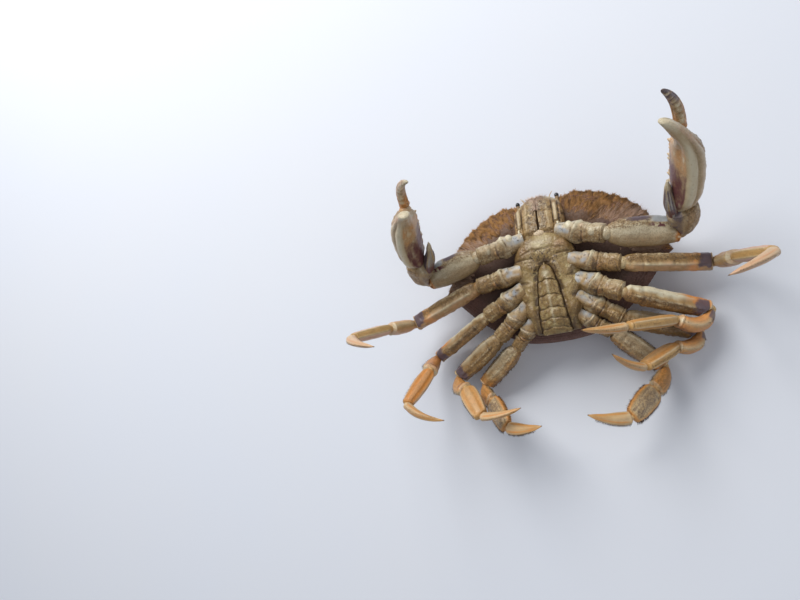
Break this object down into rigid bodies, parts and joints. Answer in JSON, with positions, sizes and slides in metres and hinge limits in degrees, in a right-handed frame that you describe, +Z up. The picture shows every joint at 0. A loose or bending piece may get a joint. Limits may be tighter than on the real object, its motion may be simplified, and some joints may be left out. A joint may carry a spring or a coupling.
{
  "type": "dungeness crab figure",
  "caption": "Life-size Dungeness crab lying on its back, belly up, claws raised and legs folded, as a still museum model.",
  "frame": {"origin": "on the crab's midline, in the small flat on the back of the carapace that rests on the floor", "axes": "+Z up, the side the crab's belly faces; +Y the way its head points; +X its own left side"},
  "size_m": [0.3113, 0.206, 0.1444],
  "materials": {
    "shell": "satin, hairy underside and toothed edge",
    "belly": "satin, mottled",
    "mouth": "satin",
    "claw": "satin, speckled",
    "leg_cream": "satin, speckled",
    "leg_amber": "satin",
    "eye": "glossy black"
  },
  "bodies": {
    "root": {"carapace": "shell", "sternum": "belly", "belly_flap": "belly", "mouthpart_left": "mouth", "mouthpart_right": "mouth", "eye_left": "eye", "eye_right": "eye", "antenna_left": "mouth", "antenna_right": "mouth", "claw_left_base": "claw", "claw_left_arm": "claw", "claw_left_wrist": "claw", "claw_left_hand": "claw", "claw_left_finger": "claw", "claw_right_base": "claw", "claw_right_arm": "claw", "claw_right_wrist": "claw", "claw_right_hand": "claw", "claw_right_finger": "claw", "leg1_left_base": "leg_cream", "leg1_left_merus": "leg_cream", "leg1_left_carpus": "leg_amber", "leg1_left_propodus": "leg_amber", "leg1_left_dactyl": "leg_amber", "leg1_right_base": "leg_cream", "leg1_right_merus": "leg_cream", "leg1_right_carpus": "leg_amber", "leg1_right_propodus": "leg_amber", "leg1_right_dactyl": "leg_amber", "leg2_left_base": "leg_cream", "leg2_left_merus": "leg_cream", "leg2_left_carpus": "leg_amber", "leg2_left_propodus": "leg_amber", "leg2_left_dactyl": "leg_amber", "leg2_right_base": "leg_cream", "leg2_right_merus": "leg_cream", "leg2_right_carpus": "leg_amber", "leg2_right_propodus": "leg_amber", "leg2_right_dactyl": "leg_amber", "leg3_left_base": "leg_cream", "leg3_left_merus": "leg_cream", "leg3_left_carpus": "leg_amber", "leg3_left_propodus": "leg_amber", "leg3_left_dactyl": "leg_amber", "leg3_right_base": "leg_cream", "leg3_right_merus": "leg_cream", "leg3_right_carpus": "leg_amber", "leg3_right_propodus": "leg_amber", "leg3_right_dactyl": "leg_amber", "leg4_left_base": "leg_cream", "leg4_left_merus": "leg_cream", "leg4_left_carpus": "leg_amber", "leg4_left_propodus": "leg_amber", "leg4_left_dactyl": "leg_amber", "leg4_right_base": "leg_cream", "leg4_right_merus": "leg_cream", "leg4_right_carpus": "leg_amber", "leg4_right_propodus": "leg_amber", "leg4_right_dactyl": "leg_amber"}
  },
  "joints": []
}
